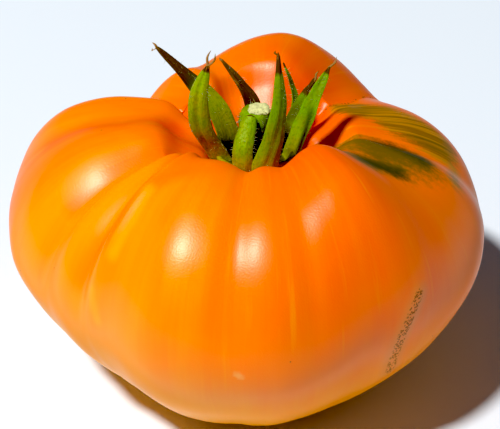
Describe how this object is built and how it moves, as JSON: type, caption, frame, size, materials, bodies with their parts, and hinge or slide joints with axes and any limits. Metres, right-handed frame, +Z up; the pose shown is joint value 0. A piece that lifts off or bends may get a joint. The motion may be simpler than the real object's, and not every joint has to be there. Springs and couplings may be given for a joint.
{
  "type": "tomato",
  "caption": "Large ribbed orange beefsteak tomato as picked, resting on its blossom end, with a deep stem cavity, an upright green calyx and a torn stub of stem.",
  "frame": {"origin": "on the surface that the tomato rests on, under the middle of its outline seen from above", "axes": "+Z up along the stem, +Y towards the back lobe, +X to the right when the deep lobe is at the back"},
  "size_m": [0.1092, 0.1104, 0.087],
  "materials": {
    "fruit_skin": "smooth waxy skin, glossy, orange with yellow streaks and dark green shoulder streaks",
    "calyx_green": "softly hairy leaf green, with dry brown tips",
    "stem_pith": "dull torn fibres, pale cream"
  },
  "bodies": {
    "root": {"fruit": "fruit_skin", "calyx": "calyx_green", "stem_torn_end": "stem_pith"}
  },
  "joints": []
}
